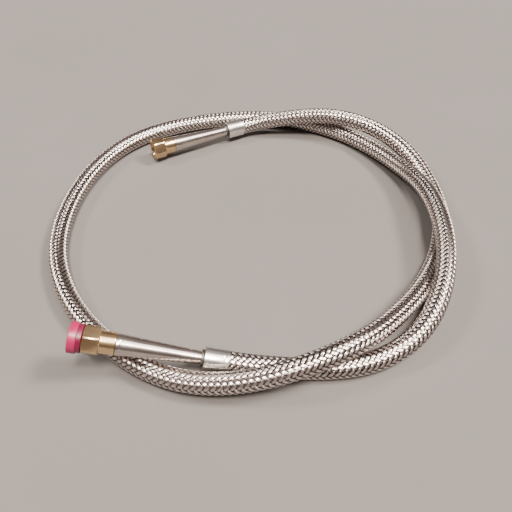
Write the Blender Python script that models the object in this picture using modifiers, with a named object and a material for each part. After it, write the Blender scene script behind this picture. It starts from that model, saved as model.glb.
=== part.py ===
# Coiled braided stainless steel hose with a swivel nut on each end.
# Metres, +Z up. The hose lies on the plane Z = 0, in one loop and a second strand beside it.
# Each end fitting is modelled along its own +Z, which points out of the hose's end.
# Its origin is the ferrule's front face.
import bpy
import bmesh
import numpy as np
from mathutils import Matrix, Vector

# Hose: braid over a thin-walled inner hose
HOSE_OD = 0.0205
HOSE_R = HOSE_OD / 2
SLEEVE_WALL = 0.0007
FIT_GAP = 0.0003
CORE_R = HOSE_R - SLEEVE_WALL - 0.0004
CORE_WALL = 0.0006
CORE_BORE_R = CORE_R - CORE_WALL
HOSE_STEP = 0.0377
HOSE_BEVEL_RESOLUTION = 4

# Ferrule
FERRULE_LENGTH = 0.022
FERRULE_BORE_R = HOSE_R + FIT_GAP + 0.00005
FERRULE_R = FERRULE_BORE_R + 0.0006
FERRULE_FRONT_WALL = 0.002
HOSE_END = -FERRULE_FRONT_WALL - FIT_GAP

# End tube: spigot in the inner hose, neck, ring, long taper and flared nose
NECK_R = 0.00585
SPIGOT_R = CORE_BORE_R - 0.0006
SPIGOT_LENGTH = 0.009
FERRULE_HOLE_R = NECK_R + FIT_GAP
RING_R = 0.0079
RING_FRONT = 0.0025
TAPER_START_R = 0.0062
TAPER_END_R = 0.0098
SHOULDER_R = 0.0101
SHOULDER_START = 0.0750
SHOULDER_END = 0.0780
NOSE_R = 0.00635
FLARE_START = 0.0945
FLARE_R = 0.0085
FLARE_FRONT = 0.0981
FLOW_BORE_R = 0.0047

# Swivel nut: round collar behind, hexagon in front
NUT_REAR = SHOULDER_END + 0.0004
COLLAR_END = 0.0918
NUT_FRONT = 0.1070
NUT_FLATS = 0.0240
NUT_CORNER_R = 0.0134
NUT_FACE_R = 0.0117
COLLAR_R = 0.0104
NUT_REAR_BORE_R = NOSE_R + FIT_GAP
NUT_SEAT_START = FLARE_START - 0.0002
NUT_BORE_R = FLARE_R + 0.00035
NUT_CHAMFER = 0.0009

# End plug in the nut at end A
PLUG_GAP = FIT_GAP
PLUG_STEM_R = NUT_BORE_R - 0.00035
PLUG_STEM_LENGTH = 0.0078
PLUG_SHOULDER_R = 0.0129
PLUG_SHOULDER_LENGTH = 0.0042
PLUG_HEAD_R = 0.0141
PLUG_HEAD_LENGTH = 0.0071
PLUG_DISH_DEPTH = 0.0012

# Sides of the turned pieces
TURN_STEPS = 40

# Width and depth over the whole coil
COIL_WIDTH = 0.4605
COIL_DEPTH = 0.4666

# Which way each fitting points: round from +X seen from above, and up from level
END_A_HEADING = np.radians(178.158)
END_A_RISE = np.radians(13.226)
END_B_HEADING = np.radians(206.8)
END_B_RISE = np.radians(0.8)
STRAIGHT_END = 0.024

# Places here give x and y as shares of half the coil's width and depth, and z in metres
END_A_PLACE = (-0.1911, -0.8461, 0.0196)
END_B_PLACE = (-0.1633, 0.7823, 0.0155)

# Route of the hose's centre from end A to end B, between the straight ends
ROUTE_PLACES = [
    (0.0347, -0.8573, 0.0106),
    (0.1650, -0.8658, 0.0102),
    (0.4169, -0.8530, 0.0106),
    (0.6428, -0.7544, 0.0174),
    (0.7948, -0.5572, 0.0258),
    (0.8730, -0.3215, 0.0322),
    (0.8990, -0.0729, 0.0328),
    (0.8817, 0.1757, 0.0276),
    (0.8078, 0.4115, 0.0185),
    (0.6819, 0.6258, 0.0130),
    (0.4995, 0.8058, 0.0103),
    (0.2736, 0.9130, 0.0102),
    (0.0261, 0.9559, 0.0102),
    (-0.2258, 0.9344, 0.0102),
    (-0.4691, 0.8616, 0.0102),
    (-0.6862, 0.7287, 0.0102),
    (-0.8382, 0.5315, 0.0102),
    (-0.9251, 0.2958, 0.0102),
    (-0.9555, 0.0471, 0.0102),
    (-0.9338, -0.2015, 0.0102),
    (-0.8469, -0.4372, 0.0102),
    (-0.7036, -0.6429, 0.0102),
    (-0.5125, -0.8101, 0.0102),
    (-0.2866, -0.9258, 0.0130),
    (-0.0434, -0.9559, 0.0210),
    (0.2128, -0.9087, 0.0312),
    (0.4387, -0.7930, 0.0314),
    (0.6211, -0.6215, 0.0217),
    (0.7731, -0.4243, 0.0142),
    (0.8903, -0.2015, 0.0103),
    (0.9511, 0.0386, 0.0104),
    (0.9425, 0.2872, 0.0132),
    (0.8643, 0.5229, 0.0216),
    (0.6949, 0.7115, 0.0300),
    (0.4691, 0.8144, 0.0330),
    (0.2128, 0.8520, 0.0256),
]


def placed(place):
    """Point in metres from a place in the coil."""
    return Vector((place[0] * COIL_WIDTH / 2, place[1] * COIL_DEPTH / 2, place[2]))


def pointing(heading, rise):
    """Unit direction from a heading and a rise."""
    level = np.cos(rise)
    return Vector((level * np.cos(heading), level * np.sin(heading), np.sin(rise)))


END_A_ORIGIN = placed(END_A_PLACE)
END_A_DIRECTION = pointing(END_A_HEADING, END_A_RISE)
END_B_ORIGIN = placed(END_B_PLACE)
END_B_DIRECTION = pointing(END_B_HEADING, END_B_RISE)
ROUTE = [tuple(placed(place)) for place in ROUTE_PLACES]

for item in list(bpy.data.objects):
    bpy.data.objects.remove(item, do_unlink=True)

hose_collection = bpy.data.collections.new("braided_hose")
bpy.context.scene.collection.children.link(hose_collection)
cutter_collection = bpy.data.collections.new("cutters")
bpy.context.scene.collection.children.link(cutter_collection)


def new_material(name, color, roughness, metallic):
    material = bpy.data.materials.new(name)
    material.use_nodes = True
    shader = material.node_tree.nodes["Principled BSDF"]
    shader.inputs["Base Color"].default_value = (color[0], color[1], color[2], 1.0)
    shader.inputs["Roughness"].default_value = roughness
    shader.inputs["Metallic"].default_value = metallic
    return material


def end_matrix(origin, direction):
    """Frame of an end fitting: Z out of the hose's end, X level."""
    z_axis = direction.normalized()
    x_axis = Vector((0.0, 0.0, 1.0)).cross(z_axis).normalized()
    y_axis = z_axis.cross(x_axis)
    matrix = Matrix((x_axis, y_axis, z_axis)).transposed().to_4x4()
    matrix.translation = origin
    return matrix


def smooth_route(points, start_direction, end_direction, step):
    """Even points along one cubic through the given points, with its end directions held."""
    p = np.array(points)
    h = np.linalg.norm(np.diff(p, axis=0), axis=1)
    count = len(p)
    system = np.zeros((count, count))
    right = np.zeros((count, 3))
    system[0, 0] = 1.0
    right[0] = start_direction
    system[-1, -1] = 1.0
    right[-1] = end_direction
    for i in range(1, count - 1):
        system[i, i - 1] = h[i]
        system[i, i] = 2.0 * (h[i - 1] + h[i])
        system[i, i + 1] = h[i - 1]
        before = (p[i] - p[i - 1]) * h[i] / h[i - 1]
        after = (p[i + 1] - p[i]) * h[i - 1] / h[i]
        right[i] = 3.0 * (before + after)
    slope = np.linalg.solve(system, right)
    dense = []
    for i in range(count - 1):
        t = np.linspace(0.0, 1.0, 40, endpoint=False)[:, None]
        a = 2 * t ** 3 - 3 * t ** 2 + 1
        b = (t ** 3 - 2 * t ** 2 + t) * h[i]
        c = 3 * t ** 2 - 2 * t ** 3
        d = (t ** 3 - t ** 2) * h[i]
        dense.append(a * p[i] + b * slope[i] + c * p[i + 1] + d * slope[i + 1])
    dense.append(p[-1:])
    dense = np.vstack(dense)
    dense[:, 2] = np.maximum(dense[:, 2], HOSE_R)
    run = np.concatenate([[0.0], np.cumsum(np.linalg.norm(np.diff(dense, axis=0), axis=1))])
    wanted = np.linspace(0.0, run[-1], int(round(run[-1] / step)) + 1)
    return np.column_stack([np.interp(wanted, run, dense[:, k]) for k in range(3)])


def hose_centre_line():
    """Centre of the hose from its cut end in ferrule A to its cut end in ferrule B."""
    start = END_A_ORIGIN + END_A_DIRECTION * HOSE_END
    start_bend = END_A_ORIGIN - END_A_DIRECTION * STRAIGHT_END
    end_bend = END_B_ORIGIN - END_B_DIRECTION * STRAIGHT_END
    end = END_B_ORIGIN + END_B_DIRECTION * HOSE_END
    points = [tuple(start_bend)] + ROUTE + [tuple(end_bend)]
    bent = smooth_route(points, -END_A_DIRECTION, END_B_DIRECTION, HOSE_STEP)
    return np.vstack([np.array(start)[None, :], bent, np.array(end)[None, :]])


def hose_layer(name, outer_radius, wall, centre_line, material):
    """Hollow hose layer: an open tube on the centre line, thickened inwards."""
    curve = bpy.data.curves.new(name, "CURVE")
    curve.dimensions = "3D"
    curve.bevel_depth = outer_radius
    curve.bevel_resolution = HOSE_BEVEL_RESOLUTION
    curve.use_fill_caps = False
    spline = curve.splines.new("POLY")
    spline.points.add(len(centre_line) - 1)
    for point, position in zip(spline.points, centre_line):
        point.co = (position[0], position[1], position[2], 1.0)
    spline.use_smooth = True
    curve.materials.append(material)
    layer = bpy.data.objects.new(name, curve)
    hose_collection.objects.link(layer)
    solidify = layer.modifiers.new("wall", "SOLIDIFY")
    solidify.thickness = wall
    solidify.offset = -1.0
    solidify.use_even_offset = True
    return layer


def turned_piece(name, profile, material, parent):
    """Closed profile of (radius, height) pairs, turned about the fitting's own Z."""
    mesh = bpy.data.meshes.new(name)
    vertices = [(radius, 0.0, height) for radius, height in profile]
    edges = [(i, (i + 1) % len(vertices)) for i in range(len(vertices))]
    mesh.from_pydata(vertices, edges, [])
    mesh.materials.append(material)
    piece = bpy.data.objects.new(name, mesh)
    hose_collection.objects.link(piece)
    piece.parent = parent
    screw = piece.modifiers.new("turn", "SCREW")
    screw.axis = "Z"
    screw.angle = 2 * np.pi
    screw.steps = TURN_STEPS
    screw.render_steps = TURN_STEPS
    screw.use_merge_vertices = True
    screw.merge_threshold = 0.00001
    screw.use_smooth_shade = True
    return piece


def hexagon_cutter(name, parent):
    """Hexagonal prism that the nut's turned blank is cut to."""
    builder = bmesh.new()
    corner_radius = NUT_FLATS / 2 / np.cos(np.pi / 6)
    bmesh.ops.create_cone(
        builder,
        cap_ends=True,
        segments=6,
        radius1=corner_radius,
        radius2=corner_radius,
        depth=0.06,
    )
    bmesh.ops.rotate(builder, verts=builder.verts, cent=(0, 0, 0), matrix=Matrix.Rotation(np.pi / 6, 3, "Z"))
    bmesh.ops.translate(builder, verts=builder.verts, vec=(0.0, 0.0, (NUT_REAR + NUT_FRONT) / 2))
    mesh = bpy.data.meshes.new(name)
    builder.to_mesh(mesh)
    builder.free()
    cutter = bpy.data.objects.new(name, mesh)
    cutter_collection.objects.link(cutter)
    cutter.parent = parent
    cutter.hide_render = True
    cutter.display_type = "WIRE"
    return cutter


steel_braid = new_material("steel_braid", (0.62, 0.60, 0.57), 0.35, 1.0)
steel_inner = new_material("steel_inner", (0.35, 0.34, 0.33), 0.45, 1.0)
steel_ferrule = new_material("steel_ferrule", (0.68, 0.67, 0.65), 0.28, 1.0)
steel_tube = new_material("steel_tube", (0.74, 0.73, 0.71), 0.15, 1.0)
brass = new_material("brass", (0.75, 0.58, 0.28), 0.22, 1.0)
pink_plastic = new_material("pink_plastic", (0.85, 0.20, 0.40), 0.40, 0.0)

# Braid and inner hose
centre_line = hose_centre_line()
hose_layer("braid_sleeve", HOSE_R, SLEEVE_WALL, centre_line, steel_braid)
hose_layer("inner_hose", CORE_R, CORE_WALL, centre_line, steel_inner)

# Profiles, each down its outer side from the front and back up its bore
FERRULE_PROFILE = [
    (FERRULE_R - 0.0005, 0.0),
    (FERRULE_R, -0.0005),
    (FERRULE_R, -FERRULE_LENGTH + 0.0003),
    (FERRULE_R - 0.0003, -FERRULE_LENGTH),
    (FERRULE_BORE_R, -FERRULE_LENGTH),
    (FERRULE_BORE_R, -FERRULE_FRONT_WALL),
    (FERRULE_HOLE_R, -FERRULE_FRONT_WALL),
    (FERRULE_HOLE_R, 0.0),
]
TUBE_PROFILE = [
    (FLARE_R - 0.0003, FLARE_FRONT),
    (FLARE_R, FLARE_FRONT - 0.0003),
    (FLARE_R, FLARE_START + FLARE_R - NOSE_R),
    (NOSE_R, FLARE_START),
    (NOSE_R, SHOULDER_END),
    (SHOULDER_R - 0.0006, SHOULDER_END),
    (SHOULDER_R, SHOULDER_END - 0.0006),
    (SHOULDER_R, SHOULDER_START),
    (TAPER_END_R, SHOULDER_START - 0.0006),
    (TAPER_START_R, RING_FRONT),
    (RING_R - 0.0003, RING_FRONT),
    (RING_R, RING_FRONT - 0.0003),
    (RING_R, FIT_GAP),
    (NECK_R, FIT_GAP),
    (NECK_R, HOSE_END),
    (SPIGOT_R, HOSE_END),
    (SPIGOT_R, -SPIGOT_LENGTH),
    (FLOW_BORE_R, -SPIGOT_LENGTH),
    (FLOW_BORE_R, FLARE_FRONT),
]
NUT_PROFILE = [
    (NUT_FACE_R, NUT_FRONT),
    (NUT_CORNER_R, NUT_FRONT - NUT_CHAMFER),
    (NUT_CORNER_R, COLLAR_END + NUT_CHAMFER),
    (NUT_FACE_R, COLLAR_END),
    (COLLAR_R, COLLAR_END),
    (COLLAR_R, NUT_REAR + 0.0005),
    (COLLAR_R - 0.0005, NUT_REAR),
    (NUT_REAR_BORE_R, NUT_REAR),
    (NUT_REAR_BORE_R, NUT_SEAT_START),
    (NUT_BORE_R, NUT_SEAT_START + NUT_BORE_R - NUT_REAR_BORE_R),
    (NUT_BORE_R, NUT_FRONT - 0.0004),
    (NUT_BORE_R + 0.0004, NUT_FRONT),
]
PLUG_BASE = NUT_FRONT + PLUG_GAP
PLUG_SHOULDER_TOP = PLUG_BASE + PLUG_SHOULDER_LENGTH
PLUG_TOP = PLUG_SHOULDER_TOP + PLUG_HEAD_LENGTH
PLUG_PROFILE = [
    (0.0, PLUG_TOP - PLUG_DISH_DEPTH),
    (PLUG_HEAD_R - 0.0032, PLUG_TOP - PLUG_DISH_DEPTH),
    (PLUG_HEAD_R - 0.0022, PLUG_TOP),
    (PLUG_HEAD_R - 0.0006, PLUG_TOP),
    (PLUG_HEAD_R, PLUG_TOP - 0.0006),
    (PLUG_HEAD_R, PLUG_SHOULDER_TOP),
    (PLUG_SHOULDER_R, PLUG_SHOULDER_TOP),
    (PLUG_SHOULDER_R, PLUG_BASE + 0.0004),
    (PLUG_SHOULDER_R - 0.0004, PLUG_BASE),
    (PLUG_STEM_R, PLUG_BASE),
    (PLUG_STEM_R, PLUG_BASE - PLUG_STEM_LENGTH + 0.0008),
    (PLUG_STEM_R - 0.0008, PLUG_BASE - PLUG_STEM_LENGTH),
    (0.0, PLUG_BASE - PLUG_STEM_LENGTH),
]

ends = {"a": (END_A_ORIGIN, END_A_DIRECTION), "b": (END_B_ORIGIN, END_B_DIRECTION)}
for letter, (origin, direction) in ends.items():
    end_frame = bpy.data.objects.new("end_frame_" + letter, None)
    hose_collection.objects.link(end_frame)
    end_frame.empty_display_size = 0.03
    end_frame.matrix_world = end_matrix(origin, direction)
    turned_piece("ferrule_" + letter, FERRULE_PROFILE, steel_ferrule, end_frame)
    turned_piece("end_tube_" + letter, TUBE_PROFILE, steel_tube, end_frame)
    nut = turned_piece("swivel_nut_" + letter, NUT_PROFILE, brass, end_frame)
    hexagon = nut.modifiers.new("hexagon", "BOOLEAN")
    hexagon.operation = "INTERSECT"
    hexagon.solver = "EXACT"
    hexagon.object = hexagon_cutter("hexagon_cutter_" + letter, end_frame)
    if letter == "a":
        turned_piece("end_plug", PLUG_PROFILE, pink_plastic, end_frame)
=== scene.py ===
import bpy
import math
import numpy as np
from mathutils import Matrix, Vector


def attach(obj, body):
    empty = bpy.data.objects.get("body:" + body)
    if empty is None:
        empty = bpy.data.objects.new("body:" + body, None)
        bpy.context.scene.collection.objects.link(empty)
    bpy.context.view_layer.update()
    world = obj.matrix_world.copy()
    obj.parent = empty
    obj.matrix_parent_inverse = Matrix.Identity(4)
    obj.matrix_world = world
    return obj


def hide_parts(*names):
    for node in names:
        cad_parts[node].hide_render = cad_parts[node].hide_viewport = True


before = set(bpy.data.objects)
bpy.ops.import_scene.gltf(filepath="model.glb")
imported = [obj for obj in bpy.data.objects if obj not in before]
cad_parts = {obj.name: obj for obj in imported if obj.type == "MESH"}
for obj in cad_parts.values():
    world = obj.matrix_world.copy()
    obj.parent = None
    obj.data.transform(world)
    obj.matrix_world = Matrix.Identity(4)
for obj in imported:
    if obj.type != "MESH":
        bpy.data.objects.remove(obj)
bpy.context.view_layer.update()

# Metres, +Z up. Sizes down to the hose's route are the same as the part's.
# Hose and ferrule
HOSE_OD = 0.0205
HOSE_R = HOSE_OD / 2
FIT_GAP = 0.0003
FERRULE_LENGTH = 0.022
FERRULE_BORE_R = HOSE_R + FIT_GAP + 0.00005
FERRULE_R = FERRULE_BORE_R + 0.0006
FERRULE_FRONT_WALL = 0.002
HOSE_END = -FERRULE_FRONT_WALL - FIT_GAP

# End tube: spigot in the inner hose, neck, ring, long taper and flared nose
NECK_R = 0.00585
SPIGOT_R = 0.00795
SPIGOT_LENGTH = 0.009
FERRULE_HOLE_R = NECK_R + FIT_GAP
RING_R = 0.0079
RING_FRONT = 0.0025
TAPER_START_R = 0.0062
TAPER_END_R = 0.0098
SHOULDER_R = 0.0101
SHOULDER_START = 0.0750
SHOULDER_END = 0.0780
NOSE_R = 0.00635
FLARE_START = 0.0945
FLARE_R = 0.0085
FLARE_FRONT = 0.0981
FLOW_BORE_R = 0.0047

# Swivel nut: round collar behind, hexagon in front
NUT_REAR = SHOULDER_END + 0.0004
COLLAR_END = 0.0918
NUT_FRONT = 0.1070
NUT_FLATS = 0.0240
NUT_CORNER_R = 0.0134
NUT_FACE_R = 0.0117
COLLAR_R = 0.0104
NUT_REAR_BORE_R = NOSE_R + FIT_GAP
NUT_SEAT_START = FLARE_START - 0.0002
NUT_BORE_R = FLARE_R + 0.00035

# End plug in the nut at end A
PLUG_BASE = NUT_FRONT + FIT_GAP
PLUG_STEM_R = NUT_BORE_R - 0.00035
PLUG_STEM_LENGTH = 0.0078
PLUG_SHOULDER_R = 0.0129
PLUG_SHOULDER_TOP = PLUG_BASE + 0.0042
PLUG_HEAD_R = 0.0141
PLUG_TOP = PLUG_SHOULDER_TOP + 0.0071
PLUG_DISH_DEPTH = 0.0012

# Width and depth over the whole coil
COIL_WIDTH = 0.4605
COIL_DEPTH = 0.4666

# Which way each fitting points: round from +X seen from above, and up from level
END_A_HEADING = np.radians(178.158)
END_A_RISE = np.radians(13.226)
END_B_HEADING = np.radians(206.8)
END_B_RISE = np.radians(0.8)
STRAIGHT_END = 0.024

# Places here give x and y as shares of half the coil's width and depth, and z in metres
END_A_PLACE = (-0.1911, -0.8461, 0.0196)
END_B_PLACE = (-0.1633, 0.7823, 0.0155)

# Route of the hose's centre from end A to end B, between the straight ends
ROUTE_PLACES = [
    (0.0347, -0.8573, 0.0106),
    (0.1650, -0.8658, 0.0102),
    (0.4169, -0.8530, 0.0106),
    (0.6428, -0.7544, 0.0174),
    (0.7948, -0.5572, 0.0258),
    (0.8730, -0.3215, 0.0322),
    (0.8990, -0.0729, 0.0328),
    (0.8817, 0.1757, 0.0276),
    (0.8078, 0.4115, 0.0185),
    (0.6819, 0.6258, 0.0130),
    (0.4995, 0.8058, 0.0103),
    (0.2736, 0.9130, 0.0102),
    (0.0261, 0.9559, 0.0102),
    (-0.2258, 0.9344, 0.0102),
    (-0.4691, 0.8616, 0.0102),
    (-0.6862, 0.7287, 0.0102),
    (-0.8382, 0.5315, 0.0102),
    (-0.9251, 0.2958, 0.0102),
    (-0.9555, 0.0471, 0.0102),
    (-0.9338, -0.2015, 0.0102),
    (-0.8469, -0.4372, 0.0102),
    (-0.7036, -0.6429, 0.0102),
    (-0.5125, -0.8101, 0.0102),
    (-0.2866, -0.9258, 0.0130),
    (-0.0434, -0.9559, 0.0210),
    (0.2128, -0.9087, 0.0312),
    (0.4387, -0.7930, 0.0314),
    (0.6211, -0.6215, 0.0217),
    (0.7731, -0.4243, 0.0142),
    (0.8903, -0.2015, 0.0103),
    (0.9511, 0.0386, 0.0104),
    (0.9425, 0.2872, 0.0132),
    (0.8643, 0.5229, 0.0216),
    (0.6949, 0.7115, 0.0300),
    (0.4691, 0.8144, 0.0330),
    (0.2128, 0.8520, 0.0256),
]


def placed(place):
    """Point in metres from a place in the coil."""
    return Vector((place[0] * COIL_WIDTH / 2, place[1] * COIL_DEPTH / 2, place[2]))


def pointing(heading, rise):
    """Unit direction from a heading and a rise."""
    level = np.cos(rise)
    return Vector((level * np.cos(heading), level * np.sin(heading), np.sin(rise)))


END_A_ORIGIN = placed(END_A_PLACE)
END_A_DIRECTION = pointing(END_A_HEADING, END_A_RISE)
END_B_ORIGIN = placed(END_B_PLACE)
END_B_DIRECTION = pointing(END_B_HEADING, END_B_RISE)
ROUTE = [tuple(placed(place)) for place in ROUTE_PLACES]

# Centre line: points in each stretch of the route and each straight end, and the even step.
# The cord's declared path has every twelfth of the even points.
STRETCH_STEPS = 60
STRAIGHT_STEPS = 20
LINE_STEP = 0.0007

# Braid: two sets of wire bundles, each over two and under two of the other
CARRIERS = 12
BRAID_PITCH = 0.0685
BUNDLE_WIDTH = 0.00305
BUNDLE_THICKNESS = 0.00050
BUNDLE_DIVE = 0.00086
BRAID_INSET = 0.00001
WIRES = 8
OVER_R = HOSE_R - BUNDLE_THICKNESS / 2 - BRAID_INSET
UNDER_R = OVER_R - BUNDLE_DIVE
MIDDLE_R = (OVER_R + UNDER_R) / 2
BUNDLE_SLANT = math.atan2(2 * math.pi * MIDDLE_R, BRAID_PITCH)

# Run and turn from one crossing to the next, and the crossings in one over and under
CROSSING_RUN = BRAID_PITCH / (2 * CARRIERS)
CROSSING_TURN = 2 * math.pi / (2 * CARRIERS)
REPEAT = 4.0

# A bundle's rings in each repeat, in crossings. One hand is highest where the other is lowest.
BUNDLE_PLACES = np.array([0.0, 0.5, 1.0, 1.3, 1.7, 2.0, 2.5, 3.0, 3.3, 3.7])
BUNDLE_TOP = 0.5

# Arched section of a bundle in shares of its half width and thickness, and its end's quads
BUNDLE_SECTION = np.array([
    (-1.0, -0.35), (-0.84, 0.36), (-0.36, 0.96), (0.36, 0.96),
    (0.84, 0.36), (1.0, -0.35), (0.62, -0.9), (-0.62, -0.9),
])
BUNDLE_CAP = ((0, 7, 2, 1), (7, 6, 3, 2), (6, 5, 4, 3))

# Surface map: units in a metre along a piece, and the shift from one bundle to the next
MAP_SCALE = 100
BUNDLE_MAP_SHIFT = 17.3

# Corrugated inner hose
INNER_R = 0.00850
INNER_WAVE = 0.00032
INNER_RING_PITCH = 0.0042
STEPS_IN_RING = 4
INNER_SIDES = 16

# Groove round the ferrule near its rear edge
GROOVE_FRONT = -0.0172
GROOVE_REAR = -0.0196
GROOVE_SLOPE = 0.0006
GROOVE_DEPTH = 0.00022

# Edges of the turned pieces
FERRULE_ROUND = 0.0005
TUBE_ROUND = 0.0004
PLUG_ROUND = 0.0007
RING_FILLET = 0.0003
TAPER_LIP = 0.0006
PLUG_RIM = 0.0024
PLUG_DISH_EDGE = 0.0034
PLUG_CENTRE_R = 0.00002
TURN_STEPS = 96
TURNED_SHARP = math.radians(32)

# Rounded corners: none where a profile is nearly straight or its edges are very short
STRAIGHT_COSINE = -0.995
LEAST_CUT = 1e-6
LARGEST_CUT_SHARE = 0.4
CUT_SHARES = (0.0, 0.3, 0.7, 1.0)

# Nut's chamfers, softened edges and thread
NUT_STEPS = 144
NUT_TURN = math.radians(60)
NUT_SHARP = math.radians(28)
CHAMFER_SLOPE = math.tan(math.radians(30))
CHAMFER_START = 0.0001
CORNER_SOFT_IN = 0.00008
CORNER_SOFT = 0.00006
FACE_SOFT_IN = 0.0001
FACE_SOFT_OUT = 0.00005
FACE_SOFT_REAR = 0.00004
COLLAR_FILLET = 0.00025
COLLAR_FILLET_FOOT = 0.00005
COLLAR_FILLET_LENGTH = 0.0003
COLLAR_REAR_LENGTH = 0.0008
COLLAR_REAR_ROUND = 0.0006
COLLAR_REAR_MIDDLE = (0.00015, 0.0003)
BORE_SOFT = 0.0002
MOUTH_WIDENING = 0.0005
MOUTH_SOFT = (0.00015, 0.0003)
THREAD_PITCH = 0.0016
THREAD_DEPTH = 0.00055
THREAD_LEVELS = 44
THREAD_START_GAP = 0.0003
THREAD_FRONT_GAP = 0.0006
THREAD_FADE_IN = 4
THREAD_FADE_OUT = 3

# Colours: red, green, blue and opacity
WIRE_DULL = (0.74, 0.665, 0.625, 1)
WIRE_BRIGHT = (0.99, 0.905, 0.86, 1)
# Painted shade between the wires, at the bundles' edges and where a bundle dives
WIRE_PAINTED_SHADE = (0.085, 0.060, 0.051, 1)
# Inner hose, painted dark for the shade seen through the braid's gaps
INNER_DARK = (0.06, 0.052, 0.046, 1)
INNER_LIGHT = (0.14, 0.125, 0.112, 1)
FERRULE_DARK = (0.76, 0.735, 0.70, 1)
FERRULE_LIGHT = (0.87, 0.85, 0.81, 1)
TUBE_DARK = (0.50, 0.435, 0.395, 1)
TUBE_LIGHT = (0.68, 0.61, 0.56, 1)
TUBE_RING = (0.13, 0.12, 0.11, 1)
BRASS_DARK = (0.60, 0.395, 0.215, 1)
BRASS_LIGHT = (0.87, 0.655, 0.365, 1)
PLUG_HEAD_DARK = (0.24, 0.0068, 0.050, 1)
PLUG_HEAD_LIGHT = (0.295, 0.0115, 0.070, 1)
PLUG_SHOULDER_DARK = (0.10, 0.0032, 0.022, 1)
PLUG_SHOULDER_LIGHT = (0.142, 0.0053, 0.032, 1)
FLOOR_DARK = (0.109, 0.100, 0.096, 1)
FLOOR_LIGHT = (0.123, 0.113, 0.109, 1)
WORLD_COLOUR = (1.0, 0.83, 0.79, 1)
WORLD_STRENGTH = 0.19
FLOOR_HALF_WIDTH = 6


# Centre line
def spaced(points, step):
    """Run and points with an even spacing near step, along a line of straight stretches."""
    run = np.concatenate([[0.0], np.cumsum(np.linalg.norm(np.diff(points, axis=0), axis=1))])
    wanted = np.linspace(0.0, run[-1], int(round(run[-1] / step)) + 1)
    return wanted, np.column_stack([np.interp(wanted, run, points[:, k]) for k in range(3)])


def smooth_route(points, start_direction, end_direction, step):
    """Even points along one cubic through the given points, with its end directions held."""
    p = np.array(points)
    h = np.linalg.norm(np.diff(p, axis=0), axis=1)
    count = len(p)
    system = np.zeros((count, count))
    right = np.zeros((count, 3))
    system[0, 0] = 1.0
    right[0] = start_direction
    system[-1, -1] = 1.0
    right[-1] = end_direction
    for i in range(1, count - 1):
        system[i, i - 1] = h[i]
        system[i, i] = 2.0 * (h[i - 1] + h[i])
        system[i, i + 1] = h[i - 1]
        right[i] = 3.0 * ((p[i] - p[i - 1]) * h[i] / h[i - 1] + (p[i + 1] - p[i]) * h[i - 1] / h[i])
    slope = np.linalg.solve(system, right)
    dense = []
    for i in range(count - 1):
        t = np.linspace(0.0, 1.0, STRETCH_STEPS, endpoint=False)[:, None]
        a = 2 * t ** 3 - 3 * t ** 2 + 1
        b = (t ** 3 - 2 * t ** 2 + t) * h[i]
        c = 3 * t ** 2 - 2 * t ** 3
        d = (t ** 3 - t ** 2) * h[i]
        dense.append(a * p[i] + b * slope[i] + c * p[i + 1] + d * slope[i + 1])
    dense.append(p[-1:])
    dense = np.vstack(dense)
    dense[:, 2] = np.maximum(dense[:, 2], HOSE_R)
    return spaced(dense, step)[1]


def hose_line(step):
    """Run and centre line of the hose, with an even spacing, from cut end to cut end."""
    start = np.array(END_A_ORIGIN + END_A_DIRECTION * HOSE_END)
    start_bend = np.array(END_A_ORIGIN - END_A_DIRECTION * STRAIGHT_END)
    end_bend = np.array(END_B_ORIGIN - END_B_DIRECTION * STRAIGHT_END)
    end = np.array(END_B_ORIGIN + END_B_DIRECTION * HOSE_END)
    points = [tuple(start_bend)] + ROUTE + [tuple(end_bend)]
    bent = smooth_route(points, -END_A_DIRECTION, END_B_DIRECTION, step)
    first = np.linspace(start, start_bend, STRAIGHT_STEPS, endpoint=False)
    last = np.linspace(end_bend, end, STRAIGHT_STEPS)[1:]
    return spaced(np.vstack([first, bent, last]), step)


def carried_frames(line):
    """Tangent and two cross axes along a line, carried without twist."""
    tangent = np.gradient(line, axis=0)
    tangent /= np.linalg.norm(tangent, axis=1)[:, None]
    side = np.zeros_like(line)
    axis = np.cross(tangent[0], (0.0, 0.0, 1.0))
    side[0] = axis / np.linalg.norm(axis)
    for i in range(1, len(line)):
        axis = side[i - 1] - tangent[i] * np.dot(side[i - 1], tangent[i])
        side[i] = axis / np.linalg.norm(axis)
    return tangent, side, np.cross(tangent, side)


# Camera at the photograph's angle: 45 degrees down
camera_data = bpy.data.cameras.new("camera")
camera_data.sensor_width = 36.0
camera_data.lens = 39.375
camera = bpy.data.objects.new("camera", camera_data)
bpy.context.scene.collection.objects.link(camera)
camera.location = (0.0031, -0.4891, 0.4414)
camera.rotation_euler = (math.radians(45.0), 0.0, 0.0)
bpy.context.scene.camera = camera

# Hose's centre line, shared by the braid and the inner hose
run, line = hose_line(LINE_STEP)
tangent, side, lift = carried_frames(line)
HOSE_LENGTH = float(run[-1])


# Meshes
def mesh_piece(name, points, faces, uv=None):
    """Piece from an array of points, a list of faces, and one UV pair a point."""
    mesh = bpy.data.meshes.new(name)
    mesh.from_pydata(points.tolist(), [], faces)
    if uv is not None:
        layer = mesh.uv_layers.new(name="UVMap")
        index = np.empty(len(mesh.loops), dtype=np.int32)
        mesh.loops.foreach_get("vertex_index", index)
        layer.data.foreach_set("uv", np.asarray(uv, dtype=np.float32)[index].ravel())
    piece = bpy.data.objects.new(name, mesh)
    bpy.context.scene.collection.objects.link(piece)
    mesh.shade_smooth()
    return piece


def skin(rings, sides, base=0, closed=False):
    """Quads between rings of points. If closed, the last ring joins the first."""
    i = np.arange(rings if closed else rings - 1)[:, None]
    j = np.arange(sides)[None]
    k = (j + 1) % sides
    here = base + i * sides
    there = base + (i + 1) % rings * sides
    return np.stack([here + j, here + k, there + k, there + j], axis=-1).reshape(-1, 4).tolist()


def along(values, s):
    """Values of the centre line at the runs in s."""
    return np.stack([np.interp(s, run, values[:, k]) for k in range(3)], axis=-1)


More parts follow.
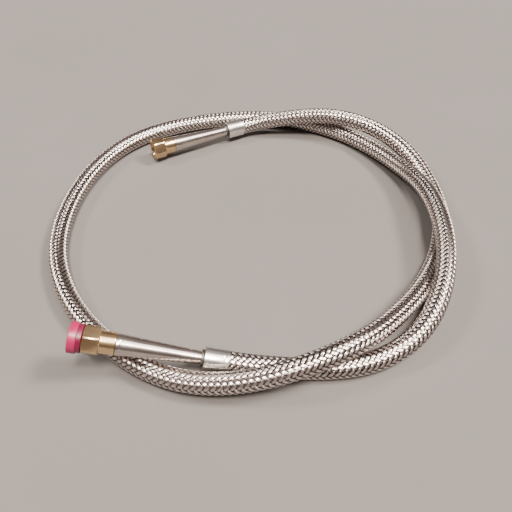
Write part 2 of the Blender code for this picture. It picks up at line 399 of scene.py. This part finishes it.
def round_hose(s, radius, angle, forward):
    """Rings of points round the centre line, one at each run in s. forward shifts each side."""
    ahead = along(tangent, s)[:, None] * forward[None, :, None]
    level = along(side, s)[:, None] * (radius * np.cos(angle))[..., None]
    upright = along(lift, s)[:, None] * (radius * np.sin(angle))[..., None]
    return along(line, s)[:, None] + ahead + level + upright


# Braid and inner hose
def bundle_course(number, hand):
    """Run, turn in crossings and height of a bundle at its rings, from cut end to cut end."""
    total = HOSE_LENGTH / CROSSING_RUN
    start = 2.0 * number
    blocks = np.arange(-8, int(total / REPEAT) + 16)
    turn = (hand * blocks[:, None] * REPEAT + BUNDLE_PLACES[None]).ravel()
    height = np.tile(np.cos((BUNDLE_PLACES - BUNDLE_TOP) * math.pi / 2) * hand, len(blocks))
    place = hand * (turn - start)
    order = np.argsort(place)
    order = order[(place[order] > 0.0) & (place[order] < total)]
    place = np.concatenate([[0.0], place[order], [total]])
    turn = np.concatenate([[start], turn[order], [start + hand * total]])
    height = height[order]
    height = np.concatenate([[height[0]], height, [height[-1]]])
    return place * CROSSING_RUN, turn, height


def wire_bundles(name, numbers, hand):
    """Flat bundles of wire that wind round the hose, all one way. hand is 1 or -1."""
    across = BUNDLE_SECTION[:, 0] * BUNDLE_WIDTH / 2
    up = BUNDLE_SECTION[:, 1] * BUNDLE_THICKNESS / 2
    forward = -math.sin(BUNDLE_SLANT) * hand * across
    arc = math.cos(BUNDLE_SLANT) * across
    sides = len(BUNDLE_SECTION)
    points = []
    uv = []
    heights = []
    faces = []
    base = 0
    for number in numbers:
        s, turn, height = bundle_course(number, hand)
        rings = len(s)
        radius = MIDDLE_R + height * (OVER_R - UNDER_R) / 2
        angle = (turn * CROSSING_TURN)[:, None] + arc[None] / radius[:, None]
        bundle = round_hose(s, radius[:, None] + up[None], angle, forward)
        points.append(bundle.reshape(-1, 3))
        length = s * math.hypot(1.0, math.tan(BUNDLE_SLANT)) * MAP_SCALE + number * BUNDLE_MAP_SHIFT
        uv.append(np.stack([
            np.broadcast_to((BUNDLE_SECTION[:, 0] + 1) / 2, (rings, sides)),
            np.broadcast_to(length[:, None], (rings, sides)),
        ], axis=-1).reshape(-1, 2))
        heights.append(np.repeat(height, sides))
        faces.extend(skin(rings, sides, base))
        tail = base + (rings - 1) * sides
        for corners in BUNDLE_CAP:
            faces.append([base + c for c in corners])
        for corners in BUNDLE_CAP:
            faces.append([tail + c for c in reversed(corners)])
        base = tail + sides
    piece = mesh_piece(name, np.vstack(points), faces, np.vstack(uv))
    rise = piece.data.attributes.new("rise", "FLOAT", "POINT")
    rise.data.foreach_set("value", np.concatenate(heights).astype(np.float32))
    return piece


def corrugated_hose(name):
    """Inner hose under the braid, in rounded rings."""
    count = int(HOSE_LENGTH / INNER_RING_PITCH * STEPS_IN_RING)
    s = np.linspace(0.0, HOSE_LENGTH, count)
    radius = INNER_R + INNER_WAVE * np.cos(np.arange(count) * 2 * math.pi / STEPS_IN_RING)
    angle = np.arange(INNER_SIDES) * 2 * math.pi / INNER_SIDES
    points = round_hose(s, radius[:, None], angle, np.zeros(INNER_SIDES))
    faces = skin(count, INNER_SIDES)
    faces.append(list(range(INNER_SIDES))[::-1])
    faces.append([(count - 1) * INNER_SIDES + n for n in range(INNER_SIDES)])
    uv = np.stack([
        np.broadcast_to(np.arange(INNER_SIDES) / INNER_SIDES, (count, INNER_SIDES)),
        np.broadcast_to((s * MAP_SCALE)[:, None], (count, INNER_SIDES)),
    ], axis=-1).reshape(-1, 2)
    return mesh_piece(name, points.reshape(-1, 3), faces, uv)


first_half = range(CARRIERS // 2)
second_half = range(CARRIERS // 2, CARRIERS)
braid_pieces = [
    wire_bundles("braid_right_1", first_half, 1),
    wire_bundles("braid_right_2", second_half, 1),
    wire_bundles("braid_left_1", first_half, -1),
    wire_bundles("braid_left_2", second_half, -1),
]
inner_piece = corrugated_hose("corrugated_inner")


# End fittings
def end_matrix(origin, direction):
    """Frame of an end fitting: Z out of the hose's end, X level."""
    z_axis = direction.normalized()
    x_axis = Vector((0.0, 0.0, 1.0)).cross(z_axis).normalized()
    y_axis = z_axis.cross(x_axis)
    matrix = Matrix((x_axis, y_axis, z_axis)).transposed().to_4x4()
    matrix.translation = origin
    return matrix


def rounded(profile, radius):
    """Profile with its corners cut by three short edges."""
    out = []
    count = len(profile)
    for i in range(count):
        p = np.array(profile[i])
        before = np.array(profile[i - 1]) - p
        after = np.array(profile[(i + 1) % count]) - p
        before_length = np.linalg.norm(before)
        after_length = np.linalg.norm(after)
        turn = np.dot(before, after) / (before_length * after_length)
        cut = min(radius, before_length * LARGEST_CUT_SHARE, after_length * LARGEST_CUT_SHARE)
        if turn < STRAIGHT_COSINE or cut < LEAST_CUT:
            out.append(tuple(p))
            continue
        a = p + before / before_length * cut
        b = p + after / after_length * cut
        for t in CUT_SHARES:
            out.append(tuple((1 - t) ** 2 * a + 2 * t * (1 - t) * p + t ** 2 * b))
    return out


def turned(name, profile, matrix):
    """Closed profile of (radius, height) pairs, turned about the fitting's own Z."""
    profile = np.array(profile)
    count = len(profile)
    angle = np.arange(TURN_STEPS) * 2 * math.pi / TURN_STEPS
    points = np.stack([
        profile[None, :, 0] * np.cos(angle)[:, None],
        profile[None, :, 0] * np.sin(angle)[:, None],
        np.broadcast_to(profile[None, :, 1], (TURN_STEPS, count)),
    ], axis=-1).reshape(-1, 3)
    piece = mesh_piece(name, points, skin(TURN_STEPS, count, closed=True))
    piece.data.set_sharp_from_angle(angle=TURNED_SHARP)
    piece.matrix_world = matrix
    return piece


def nut_outside(hexagon):
    """Rings of the nut from its mouth over its outside into its bore: radius and height."""
    chamfer = (hexagon - NUT_FACE_R) * CHAMFER_SLOPE
    front_edge = NUT_FRONT - chamfer - CHAMFER_START
    rear_edge = COLLAR_END + chamfer + CHAMFER_START
    seat_end = NUT_SEAT_START + NUT_BORE_R - NUT_REAR_BORE_R
    return [
        (NUT_BORE_R + MOUTH_WIDENING, NUT_FRONT),
        (NUT_FACE_R - FACE_SOFT_IN, NUT_FRONT),
        (NUT_FACE_R + FACE_SOFT_OUT, NUT_FRONT - CORNER_SOFT),
        (hexagon - CORNER_SOFT_IN, front_edge + CORNER_SOFT),
        (hexagon, front_edge - 2 * CORNER_SOFT),
        (hexagon, rear_edge + 2 * CORNER_SOFT),
        (hexagon - CORNER_SOFT_IN, rear_edge - CORNER_SOFT),
        (NUT_FACE_R, COLLAR_END + FACE_SOFT_REAR),
        (COLLAR_R + COLLAR_FILLET, COLLAR_END),
        (COLLAR_R + COLLAR_FILLET_FOOT, COLLAR_END - COLLAR_FILLET_FOOT),
        (COLLAR_R, COLLAR_END - COLLAR_FILLET_LENGTH),
        (COLLAR_R, NUT_REAR + COLLAR_REAR_LENGTH),
        (COLLAR_R - COLLAR_REAR_MIDDLE[0], NUT_REAR + COLLAR_REAR_MIDDLE[1]),
        (COLLAR_R - COLLAR_REAR_ROUND, NUT_REAR),
        (NUT_REAR_BORE_R + BORE_SOFT, NUT_REAR),
        (NUT_REAR_BORE_R, NUT_REAR + BORE_SOFT),
        (NUT_REAR_BORE_R, NUT_SEAT_START),
        (NUT_BORE_R, seat_end),
    ]


def nut_thread(angle):
    """Rings of the thread in the nut's mouth, from its seat to its face: radius and height."""
    start = NUT_SEAT_START + NUT_BORE_R - NUT_REAR_BORE_R + THREAD_START_GAP
    end = NUT_FRONT - THREAD_FRONT_GAP
    rings = []
    for level in range(THREAD_LEVELS):
        left = THREAD_LEVELS - 1 - level
        height = start + (end - start) * level / (THREAD_LEVELS - 1)
        phase = np.mod((height - start) / THREAD_PITCH - angle / (2 * math.pi), 1.0)
        depth = THREAD_DEPTH * (1 - np.abs(phase * 2 - 1))
        fade = min(1.0, level / THREAD_FADE_IN, left / THREAD_FADE_OUT)
        rings.append((NUT_BORE_R + depth * fade, height))
    rings.append((NUT_BORE_R + MOUTH_SOFT[0], NUT_FRONT - MOUTH_SOFT[1]))
    return rings


def swivel_nut(name, matrix):
    """Nut with a round collar, a chamfered hexagon and a thread inside its mouth."""
    angle = np.arange(NUT_STEPS) * 2 * math.pi / NUT_STEPS
    from_flat = np.mod(angle - NUT_TURN, math.pi / 3) - math.pi / 6
    hexagon = np.minimum(NUT_FLATS / 2 / np.cos(from_flat), NUT_CORNER_R)
    rings = nut_outside(hexagon) + nut_thread(angle)
    points = []
    for radius, height in rings:
        height = np.broadcast_to(height, (NUT_STEPS,))
        points.append(np.stack([radius * np.cos(angle), radius * np.sin(angle), height], axis=-1))
    faces = [(a, d, c, b) for a, b, c, d in skin(len(rings), NUT_STEPS, closed=True)]
    piece = mesh_piece(name, np.vstack(points), faces)
    piece.data.set_sharp_from_angle(angle=NUT_SHARP)
    piece.matrix_world = matrix
    return piece


FERRULE_PROFILE = rounded([
    (FERRULE_R, 0.0),
    (FERRULE_R, GROOVE_FRONT),
    (FERRULE_R - GROOVE_DEPTH, GROOVE_FRONT - GROOVE_SLOPE),
    (FERRULE_R - GROOVE_DEPTH, GROOVE_REAR + GROOVE_SLOPE),
    (FERRULE_R, GROOVE_REAR),
    (FERRULE_R, -FERRULE_LENGTH),
    (FERRULE_BORE_R, -FERRULE_LENGTH),
    (FERRULE_BORE_R, -FERRULE_FRONT_WALL),
    (FERRULE_HOLE_R, -FERRULE_FRONT_WALL),
    (FERRULE_HOLE_R, 0.0),
], FERRULE_ROUND)
TUBE_PROFILE = rounded([
    (FLARE_R, FLARE_FRONT),
    (FLARE_R, FLARE_START + FLARE_R - NOSE_R),
    (NOSE_R, FLARE_START),
    (NOSE_R, SHOULDER_END),
    (SHOULDER_R, SHOULDER_END),
    (SHOULDER_R, SHOULDER_START),
    (TAPER_END_R, SHOULDER_START - TAPER_LIP),
    ((TAPER_START_R + TAPER_END_R) / 2, (RING_FRONT + SHOULDER_START) / 2),
    (TAPER_START_R, RING_FRONT + RING_FILLET),
    (TAPER_START_R + RING_FILLET, RING_FRONT),
    (RING_R, RING_FRONT),
    (RING_R, FIT_GAP),
    (NECK_R, FIT_GAP),
    (NECK_R, HOSE_END),
    (SPIGOT_R, HOSE_END),
    (SPIGOT_R, -SPIGOT_LENGTH),
    (FLOW_BORE_R, -SPIGOT_LENGTH),
    (FLOW_BORE_R, FLARE_FRONT),
], TUBE_ROUND)
PLUG_PROFILE = rounded([
    (PLUG_CENTRE_R, PLUG_TOP - PLUG_DISH_DEPTH),
    (PLUG_HEAD_R - PLUG_DISH_EDGE, PLUG_TOP - PLUG_DISH_DEPTH),
    (PLUG_HEAD_R - PLUG_RIM, PLUG_TOP),
    (PLUG_HEAD_R, PLUG_TOP),
    (PLUG_HEAD_R, PLUG_SHOULDER_TOP),
    (PLUG_SHOULDER_R, PLUG_SHOULDER_TOP),
    (PLUG_SHOULDER_R, PLUG_BASE),
    (PLUG_STEM_R, PLUG_BASE),
    (PLUG_STEM_R, PLUG_BASE - PLUG_STEM_LENGTH),
    (PLUG_CENTRE_R, PLUG_BASE - PLUG_STEM_LENGTH),
], PLUG_ROUND)

ends = {
    "a": end_matrix(END_A_ORIGIN, END_A_DIRECTION),
    "b": end_matrix(END_B_ORIGIN, END_B_DIRECTION),
}
ferrules = {}
tubes = {}
nuts = {}
for letter, matrix in ends.items():
    ferrules[letter] = turned("ferrule_shell_" + letter, FERRULE_PROFILE, matrix)
    tubes[letter] = turned("polished_tube_" + letter, TUBE_PROFILE, matrix)
    nuts[letter] = swivel_nut("brass_nut_" + letter, matrix)
plug = turned("pink_plug", PLUG_PROFILE, ends["a"])


# Materials
class Nodes:
    """Small helper that adds and links the shader nodes of one material."""

    def __init__(self, name):
        self.material = bpy.data.materials.new(name)
        self.material.use_nodes = True
        self.tree = self.material.node_tree
        self.shader = self.tree.nodes["Principled BSDF"]

    def put(self, node, key, value):
        """Links a socket to a node's input, or sets the input to a value."""
        if isinstance(value, bpy.types.NodeSocket):
            self.tree.links.new(value, node.inputs[key])
        else:
            node.inputs[key].default_value = value

    def add(self, kind, inputs=None, **settings):
        node = self.tree.nodes.new(kind)
        for key, value in settings.items():
            setattr(node, key, value)
        for key, value in (inputs or {}).items():
            self.put(node, key, value)
        return node

    def local(self):
        """Place in the piece's own axes."""
        return self.add("ShaderNodeTexCoord").outputs["Object"]

    def split(self, vector):
        return self.add("ShaderNodeSeparateXYZ", {0: vector}).outputs

    def math(self, operation, a, b=0.0):
        return self.add("ShaderNodeMath", {0: a, 1: b}, operation=operation).outputs[0]

    def remap(self, value, low, high, to_low=0.0, to_high=1.0):
        """Value between low and high, as one between to_low and to_high."""
        node = self.add("ShaderNodeMapRange", {0: value, 1: low, 2: high, 3: to_low, 4: to_high})
        return node.outputs[0]

    def mix(self, factor, a, b):
        """Colour between a and b."""
        return self.add("ShaderNodeMix", {0: factor, 6: a, 7: b}, data_type="RGBA").outputs[2]

    def noise(self, vector, scale, detail):
        inputs = {"Vector": vector, "Scale": scale, "Detail": detail}
        return self.add("ShaderNodeTexNoise", inputs).outputs[0]

    def scaled(self, vector, factors):
        inputs = {0: vector, 1: factors}
        return self.add("ShaderNodeVectorMath", inputs, operation="MULTIPLY").outputs[0]

    def bump(self, height, distance, strength):
        inputs = {"Strength": strength, "Distance": distance, "Height": height}
        self.put(self.shader, "Normal", self.add("ShaderNodeBump", inputs).outputs[0])

    def surface(self, **values):
        """Sets the shader's own inputs, named in lower case."""
        for key, value in values.items():
            self.put(self.shader, key.replace("_", " ").title(), value)


def wire_material():
    """Round wires side by side in each bundle, with painted shade between the wires, at the bundles'
    edges and where one dives under the other.
    """
    m = Nodes("braid_wire")
    across, length, _ = m.split(m.add("ShaderNodeUVMap").outputs[0])
    wire = m.math("MULTIPLY", across, float(WIRES))
    number = m.math("FLOOR", wire)
    place = m.math("SUBTRACT", m.math("MULTIPLY", m.math("FRACT", wire), 2.0), 1.0)
    crown = m.math("SUBTRACT", 1.0, m.math("MULTIPLY", place, place))
    strand_place = {0: m.math("MULTIPLY", number, 3.7), 1: m.math("MULTIPLY", length, 0.35)}
    streak = m.noise(m.add("ShaderNodeCombineXYZ", strand_place).outputs[0], 1.0, 2.0)
    patch = m.noise(m.local(), 55.0, 3.0)
    bright = m.math("ADD", m.math("MULTIPLY", streak, 0.7), m.math("MULTIPLY", patch, 0.3))
    metal = m.mix(m.remap(bright, 0.30, 0.70), WIRE_DULL, WIRE_BRIGHT)
    # Painted shade: darker in the grooves between wires, at each bundle's edges and where it dives
    # under the other hand
    groove = m.remap(crown, 0.0, 0.45, 0.55, 1.0)
    from_centre = m.math("ABSOLUTE", m.math("SUBTRACT", across, 0.5))
    edge = m.remap(from_centre, 0.36, 0.50, 1.0, 0.0)
    rise = m.add("ShaderNodeAttribute", attribute_name="rise").outputs["Fac"]
    top = m.remap(rise, -0.05, 0.78)
    unshaded = m.math("MULTIPLY", m.math("MULTIPLY", edge, top), groove)
    tangent_node = m.add("ShaderNodeTangent", direction_type="UV_MAP", uv_map="UVMap")
    m.surface(
        base_color=m.mix(unshaded, WIRE_PAINTED_SHADE, metal),
        roughness=m.remap(streak, 0.3, 0.7, 0.278, 0.300),
        metallic=1.0,
        anisotropic=1.0,
        tangent=tangent_node.outputs[0],
    )
    m.bump(crown, 0.000035, 0.8)
    return m.material


def inner_material():
    """Rough steel of the inner hose, painted dark for the shade seen through the braid's gaps."""
    m = Nodes("inner_steel")
    tone = m.noise(m.local(), 240.0, 3.0)
    m.surface(
        base_color=m.mix(tone, INNER_DARK, INNER_LIGHT),
        roughness=m.remap(tone, 0.3, 0.7, 0.5, 0.7),
        metallic=1.0,
    )
    m.bump(tone, 0.00005, 0.4)
    return m.material


def turned_metal(name, dark, light, roughness, grain, dull_end=None):
    """Metal with fine turning rings about Z, dark and dull below the heights in dull_end."""
    m = Nodes(name)
    local = m.local()
    rings = m.noise(m.scaled(local, (30.0, 30.0, 9000.0)), 1.0, 2.0)
    smear = m.noise(m.scaled(local, (120.0, 120.0, 45.0)), 1.0, 2.0)
    tone = m.math("ADD", m.math("MULTIPLY", rings, 0.45), m.math("MULTIPLY", smear, 0.55))
    colour = m.mix(m.remap(tone, 0.25, 0.75), dark, light)
    rough = m.remap(smear, 0.25, 0.75, *roughness)
    if dull_end is not None:
        inside = m.remap(m.split(local)[2], *dull_end, 1.0, 0.0)
        colour = m.mix(inside, colour, TUBE_RING)
        rough = m.math("ADD", rough, m.math("MULTIPLY", inside, 0.28))
    m.surface(base_color=colour, roughness=rough, metallic=1.0)
    m.bump(rings, grain, 0.6)
    return m.material


def plastic_material():
    """Pink head and darker shoulder of the plug."""
    m = Nodes("pink_plastic_moulded")
    local = m.local()
    wide = m.noise(local, 90.0, 3.0)
    tone = m.remap(wide, 0.3, 0.7)
    head = m.remap(m.split(local)[2], PLUG_SHOULDER_TOP - 0.0003, PLUG_SHOULDER_TOP + 0.0001)
    pink = m.mix(tone, PLUG_HEAD_DARK, PLUG_HEAD_LIGHT)
    red = m.mix(tone, PLUG_SHOULDER_DARK, PLUG_SHOULDER_LIGHT)
    m.surface(
        base_color=m.mix(head, red, pink),
        roughness=m.remap(wide, 0.3, 0.7, 0.30, 0.42),
        subsurface_weight=0.15,
        subsurface_scale=0.002,
    )
    m.bump(m.noise(local, 1800.0, 3.0), 0.00003, 0.35)
    return m.material


def floor_material():
    m = Nodes("pale_floor")
    tone = m.noise(m.local(), 3.0, 2.0)
    m.surface(base_color=m.mix(tone, FLOOR_DARK, FLOOR_LIGHT), roughness=0.9)
    return m.material


def give(piece, material):
    """Puts a material on a piece."""
    piece.data.materials.clear()
    piece.data.materials.append(material)


wire_steel = wire_material()
ferrule_steel = turned_metal("ferrule_steel", FERRULE_DARK, FERRULE_LIGHT, (0.24, 0.30), 0.000008)
tube_dull_end = (RING_FRONT - 0.0002, RING_FRONT + 0.0004)
tube_steel = turned_metal("tube_steel", TUBE_DARK, TUBE_LIGHT, (0.18, 0.24), 0.000005, tube_dull_end)
brass = turned_metal("nut_brass", BRASS_DARK, BRASS_LIGHT, (0.19, 0.25), 0.000006)
for piece in braid_pieces:
    give(piece, wire_steel)
give(inner_piece, inner_material())
for letter in ends:
    give(ferrules[letter], ferrule_steel)
    give(tubes[letter], tube_steel)
    give(nuts[letter], brass)
give(plug, plastic_material())

# Every piece rides on its CAD body and stands for its CAD node
for piece in braid_pieces + [inner_piece]:
    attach(piece, "hose")
for piece in braid_pieces:
    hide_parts("braid_sleeve")
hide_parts("inner_hose")
for letter in ends:
    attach(ferrules[letter], "hose")
    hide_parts("ferrule_" + letter)
    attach(tubes[letter], "hose")
    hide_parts("end_tube_" + letter)
    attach(nuts[letter], "nut_" + letter)
    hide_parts("swivel_nut_" + letter)
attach(plug, "plug")
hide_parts("end_plug")

# Plain pale floor
w = FLOOR_HALF_WIDTH
floor_mesh = bpy.data.meshes.new("floor")
floor_mesh.from_pydata([(-w, -w, 0), (w, -w, 0), (w, w, 0), (-w, w, 0)], [], [(0, 1, 2, 3)])
floor = bpy.data.objects.new("floor", floor_mesh)
bpy.context.scene.collection.objects.link(floor)
floor.data.materials.append(floor_material())


# Soft studio light
def soft_sun(name, place, strength, width, colour):
    """Even light that shines from a place towards the coil, from a disc that many degrees wide."""
    data = bpy.data.lights.new(name, "SUN")
    data.energy = strength
    data.angle = math.radians(width)
    data.color = colour
    light = bpy.data.objects.new(name, data)
    bpy.context.scene.collection.objects.link(light)
    light.location = place
    light.rotation_euler = Vector(place).to_track_quat("Z", "Y").to_euler()


soft_sun("key", (0.12, -0.43, 1.10), 7.5, 16.0, (1.0, 0.90, 0.80))
soft_sun("side", (-0.85, 0.15, 0.90), 2.9, 13.0, (1.0, 0.92, 0.85))
soft_sun("right", (0.80, 0.05, 0.95), 6.2, 14.0, (1.0, 0.92, 0.85))
soft_sun("broad", (0.31, -0.15, 0.94), 1.9, 40.0, (1.0, 0.95, 0.89))
soft_sun("overhead", (0.0, -0.05, 1.20), 0.3, 110.0, (1.0, 0.95, 0.91))
world = bpy.data.worlds.new("studio")
world.use_nodes = True
world.node_tree.nodes["Background"].inputs[0].default_value = WORLD_COLOUR
world.node_tree.nodes["Background"].inputs[1].default_value = WORLD_STRENGTH
bpy.context.scene.world = world
